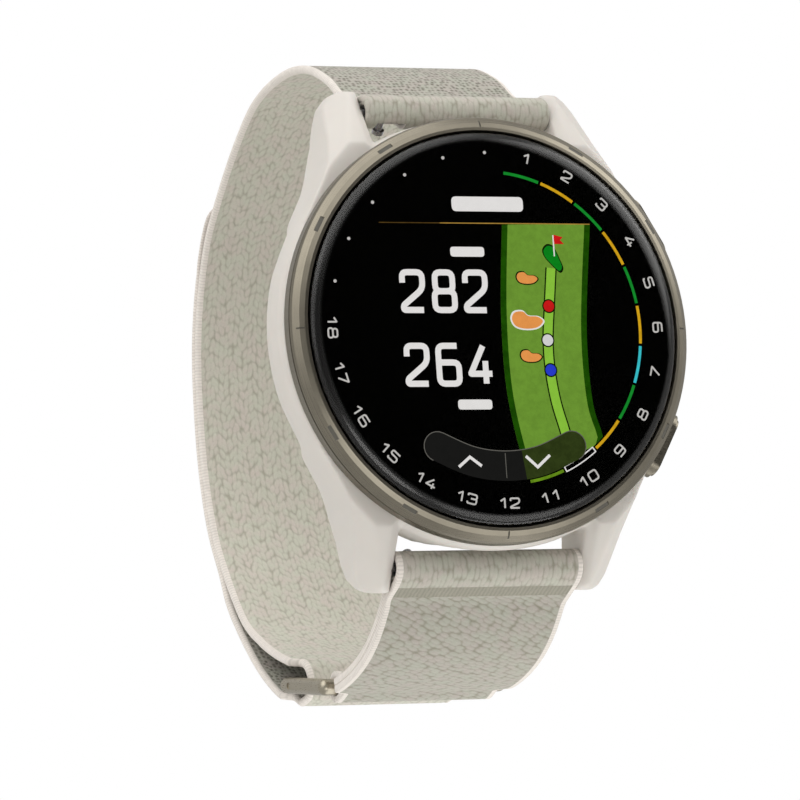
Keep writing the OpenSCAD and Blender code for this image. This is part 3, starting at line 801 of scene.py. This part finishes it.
def roll(name, centre, body, side):
    verts, faces, uvs = [], [], []
    n = 40
    section = [(ROLL_OUT, ROLL_FROM), (ROLL_OUT, ROLL_TO - 0.12), (ROLL_OUT - 0.12, ROLL_TO)]
    section += [(ROLL_IN + 0.1, ROLL_TO), (ROLL_IN, ROLL_TO - 0.1), (ROLL_IN, ROLL_FROM)]
    for k in range(n):
        a = 2 * math.pi * k / n
        for r, x in section:
            verts.append((side * x, centre[0] + r * math.cos(a), centre[1] + r * math.sin(a)))
            uvs.append((r * 3, a * 2))
    m = len(section)
    for k in range(n):
        for j in range(m):
            q = [k * m + j, k * m + (j + 1) % m, ((k + 1) % n) * m + (j + 1) % m, ((k + 1) % n) * m + j]
            faces.append(q)
    return piece(name, verts, faces, [BAND], body, None, uvs)


for end, body, centre in (("upper", "upper_strap", UPPER[0]), ("lower", "lower_strap", LOWER[0])):
    roll(end + "_eye_left", centre, body, -1)
    roll(end + "_eye_right", centre, body, 1)


# ---------------------------------------------------------------- dial and screen

# Heights above the sensor window, all inside the glass
CORE_TOP, MARK, MARK_T = 11.8, 11.82, 0.04
DISC_R = 15.8


def lathe(name, profile, mats, body, segments=160):
    """A closed solid turned round the watch's axis from (radius, height) pairs."""
    verts, rows = [], []
    for r, h in profile:
        if r < 1e-6:
            rows.append([len(verts)] * segments)
            verts.append((0, -h, 0))
        else:
            rows.append(list(range(len(verts), len(verts) + segments)))
            verts += [
                (r * math.sin(2 * math.pi * k / segments), -h, r * math.cos(2 * math.pi * k / segments))
                for k in range(segments)
            ]
    faces = []
    for a, b in zip(rows, rows[1:]):
        for k in range(segments):
            j = (k + 1) % segments
            face = list(dict.fromkeys([a[k], a[j], b[j], b[k]]))
            if len(face) > 2:
                faces.append(face)
    return piece(name, verts, faces, mats, body)


core = [(0, CORE_TOP), (18.9, CORE_TOP), (19.6, 11.2), (19.75, 10.4), (19.75, 10.32), (0, 10.32)]
lathe("dial_core", core, [BLACK], "watch")

dome = [(15.9, 12.1), (17.5, 12.09), (18.4, 12.04), (19.05, 11.93)]
dome += [(19.5, 11.75), (19.78, 11.5), (19.9, 11.25)]
glass = [(0, 12.1), (8, 12.1)] + [tuple(p) for p in curve(dome, 4)]
glass += [(19.9, 10.8), (19.9, 10.36), (19.86, 10.3), (19.7, 10.3), (0, 10.3)]
glass_dome = lathe("glass_dome", glass, [MATS["cover_glass"]], "watch", 256)
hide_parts("cover_glass")

# Dark plates sunk in the bezel's engraved hour marks, darker than the bezel round them
TICK_R, TICK_H, TICK_TILT, TICK_DEEP = 20.85, 11.22, math.radians(24), 0.12
TICK_DARK = plain("mark_dark_plate", (0.1, 0.094, 0.077), 0.6)
verts, faces = [], []
for hour in range(12):
    a = math.radians(30 * hour)
    near, far, side = (-0.5, 0.3, 0.07) if hour % 3 == 0 else (-0.2, 0.2, 0.8)
    base_index = len(verts)
    corners = ((near, -side), (far, -side), (far, side), (near, side))
    for u, v, w in [(u, v, w) for w in (0.002, 0.035) for u, v in corners]:
        r = TICK_R + u * math.cos(TICK_TILT) + w * math.sin(TICK_TILT)
        h = TICK_H - TICK_DEEP - u * math.sin(TICK_TILT) + w * math.cos(TICK_TILT)
        verts.append((r * math.cos(a) - v * math.sin(a), -h, r * math.sin(a) + v * math.cos(a)))
    for quad in ((0, 1, 2, 3), (4, 7, 6, 5), (0, 4, 5, 1), (1, 5, 6, 2), (2, 6, 7, 3), (3, 7, 4, 0)):
        faces.append([base_index + k for k in quad])
piece("bezel_marks", verts, faces, [TICK_DARK], "watch", smooth=False)

RING_NUMERALS, NUMERAL_R, PITCH_DEG = 18, 17.7, 15
marks = []
for value in range(1, RING_NUMERALS + 1):
    degrees = PITCH_DEG * value
    a = math.radians(degrees)
    turn = a if degrees <= 90 else a - math.pi
    centre = (NUMERAL_R * math.sin(a), NUMERAL_R * math.cos(a))
    marks += number(str(value), centre, 0.95, 0.95, 1.22, 0.17, turn, 0.25)
for degrees in (285, 300, 315, 330, 345, 360):
    a = math.radians(degrees)
    marks.append(disc(NUMERAL_R * math.sin(a), NUMERAL_R * math.cos(a), 0.17, 12))
# The ring's printed numbers use the glowing print: painted light.
plates("ring_numbers", [(m, MARK, MARK_T) for m in marks], [GLOWING_PRINT])

GREEN, YELLOW, CYAN = rgb("#168c2d"), rgb("#d6a51c"), rgb("#3cc8d2")
DIM, WHITE = rgb("#6f9c1f"), rgb("#e8e6e4")
lights = [
    lit("light_green", GREEN, 1.0, 0.2), lit("light_yellow", YELLOW, 1.0, 0.2),
    lit("light_cyan", CYAN, 1.0, 0.2), lit("light_dim", DIM, 0.9, 0.3), lit("light_white", WHITE, 0.95, 0.05),
]
segment_colours = [0, 1, 0, 1, 0, 1, 2, 0, 1, 4, 3]
SEGMENT_R, SEGMENT_W, SEGMENT_FROM, SEGMENT_GAP = 15.75, 0.3, 7.0, 1.0
segments, picks = [], []
for i, colour in enumerate(segment_colours):
    start = SEGMENT_FROM + i * PITCH_DEG
    angles = [math.radians(start + (PITCH_DEG - SEGMENT_GAP) * k / 8) for k in range(9)]
    line = [(SEGMENT_R * math.sin(a), SEGMENT_R * math.cos(a)) for a in angles]
    if colour == 4:
        ends = [math.radians(start + d) for d in (0, PITCH_DEG - SEGMENT_GAP)]
        for r in (SEGMENT_R - 0.32, SEGMENT_R + 0.22):
            rim = [(r * math.sin(a), r * math.cos(a)) for a in angles]
            for quad in ribbon(rim, 0.12):
                segments.append((quad, MARK, MARK_T))
                picks.append(4)
        for a in ends:
            side = [((SEGMENT_R + d) * math.sin(a), (SEGMENT_R + d) * math.cos(a)) for d in (-0.36, 0.26)]
            for quad in ribbon(side, 0.12):
                segments.append((quad, MARK, MARK_T))
                picks.append(4)
        continue
    for quad in ribbon(line, SEGMENT_W):
        segments.append((quad, MARK, MARK_T))
        picks.append(colour)
plates("distance_ring", segments, lights, picks)


def clip(outline, radius=DISC_R - 0.35):
    """The part of an outline inside the round screen."""
    out = []
    for x, z in outline:
        r = math.hypot(x, z)
        k = min(1.0, radius / r) if r else 1.0
        out.append((x * k, z * k))
    return out


# Course map: field, rough on both sides, fairway path, green, flag, bunkers and balls
LEFT = [(1.35, 10.4), (0.55, 1.2), (0.65, -7.1), (2.1, -15.0)]
RIGHT = [(11.04, 10.5), (9.85, 0.0), (9.9, -7.5), (10.8, -11.3), (9.9, -12.4)]
FIELD = lit("map_field", rgb("#6f9a35"), 0.95, 0.14)
ROUGH = lit("map_rough", rgb("#1f5205"), 0.9, 0.35)
PATH = lit("map_path", rgb("#8cc63f"), 0.95, 0.08)
OUTLINE = lit("map_outline", rgb("#16290a"), 0.6, 0.3)
GREEN_FILL = lit("map_green", rgb("#0d8a1e"), 0.9, 0.12)
FLAG = lit("map_flag", rgb("#d01c1c"), 0.95, 0.15)
SAND = lit("map_sand", rgb("#eb9a50"), 0.95, 0.08)
BALL_WHITE = lit("map_ball_white", rgb("#d8d8d8"), 0.95, 0.05)
BALL_BLUE = lit("map_ball_blue", rgb("#2a3fd0"), 0.95, 0.1)
GOLD = lit("map_gold", rgb("#c59a45"), 0.75, 0.2)
TEXT = lit("screen_text", WHITE, 0.95, 0.03)
GOLD_DIM = lit("map_gold_dim", rgb("#6b5226"), 0.6, 0.4)
MAP_MATS = [FIELD, ROUGH, PATH, OUTLINE, GREEN_FILL, FLAG, SAND, BALL_WHITE, BALL_BLUE, GOLD, TEXT, GOLD_DIM]
I_FIELD, I_ROUGH, I_PATH, I_LINE, I_GREEN, I_FLAG, I_SAND, I_BALL, I_BLUE, I_GOLD, I_TEXT, I_DIM = range(12)
shapes, picks = [], []


LAYER_STEP, SHAPE_T = 0.012, 0.009  # layers of the picture lie this far apart and are this thick


def show(outline, mat, layer):
    shapes.append((outline, CORE_TOP + 0.005 + layer * LAYER_STEP, SHAPE_T))
    picks.append(mat)


def fan(path_left, path_right):
    """Quads between two lines of the same number of points."""
    return [
        [path_left[i], path_left[i + 1], path_right[i + 1], path_right[i]]
        for i in range(len(path_left) - 1)
    ]


def sample(points, n=28):
    """n equal steps along a line."""
    p = [Vector(q) for q in points]
    total = lengths(p)
    out = []
    for k in range(n + 1):
        t = total[-1] * k / n
        i = max(j for j in range(len(p)) if total[j] <= t + 1e-9)
        i = min(i, len(p) - 2)
        f = (t - total[i]) / (total[i + 1] - total[i])
        out.append(tuple(p[i] + (p[i + 1] - p[i]) * f))
    return out


left_line, right_line = sample(curve(LEFT, 8)), sample(curve(RIGHT, 8))
for quad in fan(clip(left_line), clip(right_line)):
    show(quad, I_FIELD, 0)
for line, sign in ((left_line, 1), (right_line, -1)):
    offset = [(x + sign * 0.62, z) for x, z in line]
    for quad in fan(clip(line), clip(offset)):
        show(quad, I_ROUGH, 1)
FAIRWAY = [(6.4, 6), (5.9, 2.1), (5.5, -1.3), (5.5, -4.4), (5.9, -7.6), (6.7, -10.8), (7.2, -13.5)]
fairway = [tuple(p) for p in curve(FAIRWAY, 5)]
for width, mat, layer in ((1.25, I_LINE, 1.0), (0.95, I_PATH, 2.0)):
    for quad in ribbon(fairway, width):
        show(quad, mat, layer)

# Outlines of a bunker and of the green, about one unit round their middle
KIDNEY = [(-1, 0.1), (-0.8, 0.75), (-0.25, 0.85), (0.1, 0.42), (0.7, 0.35), (1.05, -0.1), (0.65, -0.7)]
KIDNEY += [(-0.1, -0.85), (-0.75, -0.6)]
GREEN_SHAPE = [(-0.95, 0.75), (-0.5, 1.25), (0.1, 1.15), (0.45, 0.6), (0.75, -0.1), (1.05, -0.95)]
GREEN_SHAPE += [(0.75, -1.4), (0.25, -1.05), (-0.35, -0.45), (-0.8, 0.1)]


def patch(points, x, z, rx, rz, rim, fill, rim_mat):
    """A smooth closed shape with a rim."""
    p = [Vector(q) for q in points]
    n = len(p)
    loop = [
        along(p[i - 1], p[i], p[(i + 1) % n], p[(i + 2) % n], k / 4) for i in range(n) for k in range(4)
    ]
    for grow, mat, at in ((rim, rim_mat, 3), (0.0, fill, 4)):
        show([(x + q.x * (rx + grow), z + q.y * (rz + grow)) for q in loop], mat, at)


patch(GREEN_SHAPE, 6.6, 7.05, 0.95, 0.95, 0.15, I_GREEN, I_LINE)
for x, z, rx, rz, rim, rim_mat in (
    (3.65, 4.97, 1.1, 0.68, 0.14, I_LINE),
    (3.5, -2.94, 1.1, 0.68, 0.14, I_LINE),
    (3.35, 0.7, 1.65, 1.02, 0.18, I_TEXT),
):
    patch(KIDNEY, x, z, rx, rz, rim, I_SAND, rim_mat)
show([(6.78, 7.2), (6.92, 7.2), (6.92, 9.35), (6.78, 9.35)], I_TEXT, 5)
show([(6.9, 9.4), (7.9, 9.15), (7.6, 8.85), (8.0, 8.45), (6.9, 8.45)], I_FLAG, 5)
for x, z, mat in ((5.84, 2.13, I_FLAG), (5.46, -1.32, I_BALL), (5.55, -4.35, I_BLUE)):
    show(disc(x, z, 0.72), I_LINE, 3)
    show(disc(x, z, 0.58), mat, 4)

# Title line, distances and the bars that stand for words
GOLD_Z, GOLD_HALF, GOLD_FROM, GOLD_LENGTH, GOLD_PARTS, DIM_PARTS = 10.5, 0.05, -12.0, 23.0, 14, 4
for k in range(GOLD_PARTS):
    x0, x1 = [GOLD_FROM + GOLD_LENGTH * j / GOLD_PARTS for j in (k, k + 1)]
    z0, z1 = GOLD_Z - GOLD_HALF, GOLD_Z + GOLD_HALF
    show([(x0, z0), (x1, z0), (x1, z1), (x0, z1)], I_DIM if k < DIM_PARTS else I_GOLD, 3)


def bar(x0, x1, z0, z1, radius):
    corners = rounded([(x0, z0), (x1, z0), (x1, z1), (x0, z1)], radius, True)
    show([tuple(p) for p in corners], I_TEXT, 3)


bar(-4.0, 3.8, 11.7, 13.2, 0.5)
bar(-4.5, -0.8, 7.1, 8.1, 0.35)
bar(-4.8, -1.1, -8.3, -7.3, 0.35)
for text, centre in (("282", (-5.45, 3.6)), ("264", (-5.5, -3.8))):
    for quad in number(text, centre, 2.15, 3.8, 3.4, 0.62, 0.0, 0.6):
        show(quad, I_TEXT, 3)
plates("screen_picture", shapes, MAP_MATS, picks)

# Bottom menu: a curved dark bar with an arrow on each side
MENU = lit("menu_dark", rgb("#1c1c1b"), 0.9, 0.1)
MENU_OVER = lit("menu_over_map", rgb("#33401a"), 0.9, 0.25)
spine = sample(curve([(-7.3, -12.0), (-3.7, -13.5), (0, -13.98), (3.7, -13.5), (7.3, -12.0)], 6), 32)
spine_n = normals([Vector(q) for q in spine])
MENU_HALF, MENU_H = 1.5, CORE_TOP + 0.075
MAP_FROM = 1.7  # the menu lies over the course map from here to the right
upper_edge = [tuple(Vector(q) + n * MENU_HALF) for q, n in zip(spine, spine_n)]
lower_edge = [tuple(Vector(q) - n * MENU_HALF) for q, n in zip(spine, spine_n)]
menu, menu_picks = [], []
for quad in fan(upper_edge, lower_edge):
    menu.append((quad, MENU_H, 0.02))
    menu_picks.append(1 if sum(q[0] for q in quad) / 4 > MAP_FROM else 0)


def cap(end, n, outward):
    """Half a disc that rounds an end of the menu."""
    centre, n, d = Vector(end), n * MENU_HALF, Vector((n.y, -n.x)) * MENU_HALF * outward
    angles = [math.pi * k / 12 for k in range(13)]
    return [tuple(centre + n * math.cos(a) + d * math.sin(a)) for a in angles]


left_cap, right_cap = cap(spine[0], spine_n[0], -1), cap(spine[-1], spine_n[-1], 1)
for i, half_disc in enumerate((left_cap, right_cap)):
    menu.append((half_disc, MENU_H, 0.02))
    menu_picks.append(i)
rim = left_cap[::-1] + upper_edge[1:-1] + right_cap
for quad in ribbon(rim, 0.09):
    menu.append((quad, MENU_H + 0.02, 0.012))
    menu_picks.append(2)
menu.append(([(-0.14, -12.7), (-0.06, -12.7), (-0.06, -15.2), (-0.14, -15.2)], MENU_H + 0.02, 0.012))
menu_picks.append(2)
for arrow in (
    [(-5.2, -14.05), (-3.95, -13.06), (-2.73, -13.97)],
    [(2.13, -13.01), (3.35, -14.12), (4.76, -12.93)],
):
    for quad in ribbon(arrow, 0.3):
        menu.append((quad, MENU_H + 0.022, 0.012))
        menu_picks.append(3)
LINE_GREY = lit("menu_line", rgb("#7d7b74"), 0.6, 0.1)
plates("menu_bar", menu, [MENU, MENU_OVER, LINE_GREY, TEXT], menu_picks)


# ---------------------------------------------------------------- camera, light and floor

BACK = Vector((-0.4094, -0.8980, -0.1611))
EYE = Vector((0, -0.0112, 0)) + BACK * 0.5973
RIGHT_WARD = Vector((0.91235, -0.40330, -0.07049))
UP_WARD = Vector((-0.00168, -0.17586, 0.98441))
aim = (-BACK * 6000 - RIGHT_WARD * 93.92 - UP_WARD * 71.67).normalized()
cam_data = bpy.data.cameras.new("camera")
cam_data.lens, cam_data.sensor_width = 270, 36
cam_data.clip_start, cam_data.clip_end = 0.01, 10
cam = bpy.data.objects.new("camera", cam_data)
bpy.context.scene.collection.objects.link(cam)
z_axis = -aim
x_axis = UP_WARD.cross(z_axis).normalized()
y_axis = z_axis.cross(x_axis)
cam.matrix_world = Matrix.Translation(EYE) @ Matrix((x_axis, y_axis, z_axis)).transposed().to_4x4()
bpy.context.scene.camera = cam

scene = bpy.context.scene
scene.view_settings.view_transform = "Standard"
scene.view_settings.look = "None"


def world_light():
    """White to the camera; to everything else a soft studio: a pale room, a dark card behind the camera
    so that the flat glass stays black, and softboxes above and below it."""
    world = bpy.data.worlds.new("studio")
    scene.world = world
    world.use_nodes = True
    tree = world.node_tree
    tree.nodes.clear()

    def add(kind, **props):
        n = tree.nodes.new("ShaderNode" + kind)
        for key, value in props.items():
            setattr(n, key, value)
        return n

    coord = add("TexCoord")

    def lobe(direction, inner_deg, outer_deg, level):
        """level where the ray is within inner_deg of direction, fading to 0 at outer_deg."""
        dot = add("VectorMath", operation="DOT_PRODUCT")
        tree.links.new(coord.outputs["Generated"], dot.inputs[0])
        dot.inputs[1].default_value = Vector(direction).normalized()
        fade = add("MapRange", interpolation_type="SMOOTHSTEP")
        tree.links.new(dot.outputs["Value"], fade.inputs["Value"])
        fade.inputs["From Min"].default_value = math.cos(math.radians(outer_deg))
        fade.inputs["From Max"].default_value = math.cos(math.radians(inner_deg))
        fade.inputs["To Min"].default_value = 0.0
        fade.inputs["To Max"].default_value = level
        return fade.outputs["Result"]

    def maths(operation, a, b):
        n = add("Math", operation=operation)
        for k, value in enumerate((a, b)):
            if isinstance(value, bpy.types.NodeSocket):
                tree.links.new(value, n.inputs[k])
            else:
                n.inputs[k].default_value = value
        return n.outputs[0]

    level = maths("MULTIPLY", maths("SUBTRACT", 1.0, lobe(CARD, 19, 33, 1.0)), ROOM)
    for direction, inner_deg, outer_deg, strength in BOXES:
        level = maths("ADD", level, lobe(direction, inner_deg, outer_deg, strength))
    room = add("Background")
    tree.links.new(level, room.inputs["Strength"])
    room.inputs["Color"].default_value = (1.0, 0.99, 0.97, 1)
    white = add("Background")
    white.inputs["Color"].default_value = (1, 1, 1, 1)
    white.inputs["Strength"].default_value = 1.0
    path = add("LightPath")
    blend = add("MixShader")
    tree.links.new(path.outputs["Is Camera Ray"], blend.inputs[0])
    tree.links.new(room.outputs[0], blend.inputs[1])
    tree.links.new(white.outputs[0], blend.inputs[2])
    out = add("OutputWorld")
    tree.links.new(blend.outputs[0], out.inputs["Surface"])


CARD = (0.409, -0.898, 0.161)
ROOM = 0.62
BOXES = [
    ((0.71, -0.52, 0.47), 11, 23, 2.1),
    ((0.80, -0.2, 0.56), 10, 22, 1.2),
    ((-0.179, -0.885, -0.427), 9, 17, 2.0),
    ((-0.30, -0.35, 0.90), 20, 50, 1.3),
    ((-0.80, -0.45, 0.35), 12, 32, 0.6),
    ((0.409, -0.722, -0.56), 11, 24, 1.3),
    ((-0.394, -0.906, 0.161), 9, 27, -0.32),
]
world_light()

# Light from the pale table under the watch, for the underside of the bezel and lugs
GLOW_SIZE, GLOW_POWER = 0.1, 0.03
glow_data = bpy.data.lights.new("table_glow", "AREA")
glow_data.shape, glow_data.size, glow_data.energy = "DISK", GLOW_SIZE, GLOW_POWER
glow = bpy.data.objects.new("table_glow", glow_data)
glow.matrix_world = Matrix.Translation((0.04, 0.01, -0.112)) @ Matrix.Rotation(math.pi, 4, "X")
glow.visible_camera = False
bpy.context.scene.collection.objects.link(glow)

FLOOR_Z = -0.12
floor_mesh = bpy.data.meshes.new("floor")
half = 3.0
floor_mesh.from_pydata(
    [(-half, -half, FLOOR_Z), (half, -half, FLOOR_Z), (half, half, FLOOR_Z), (-half, half, FLOOR_Z)],
    [], [(0, 1, 2, 3)],
)
floor_mat = Shade("floor", (0.8, 0.8, 0.79), 0.8)
floor_mesh.materials.append(floor_mat.mat)
floor = bpy.data.objects.new("floor", floor_mesh)
floor.visible_glossy = floor.visible_transmission = False
bpy.context.scene.collection.objects.link(floor)
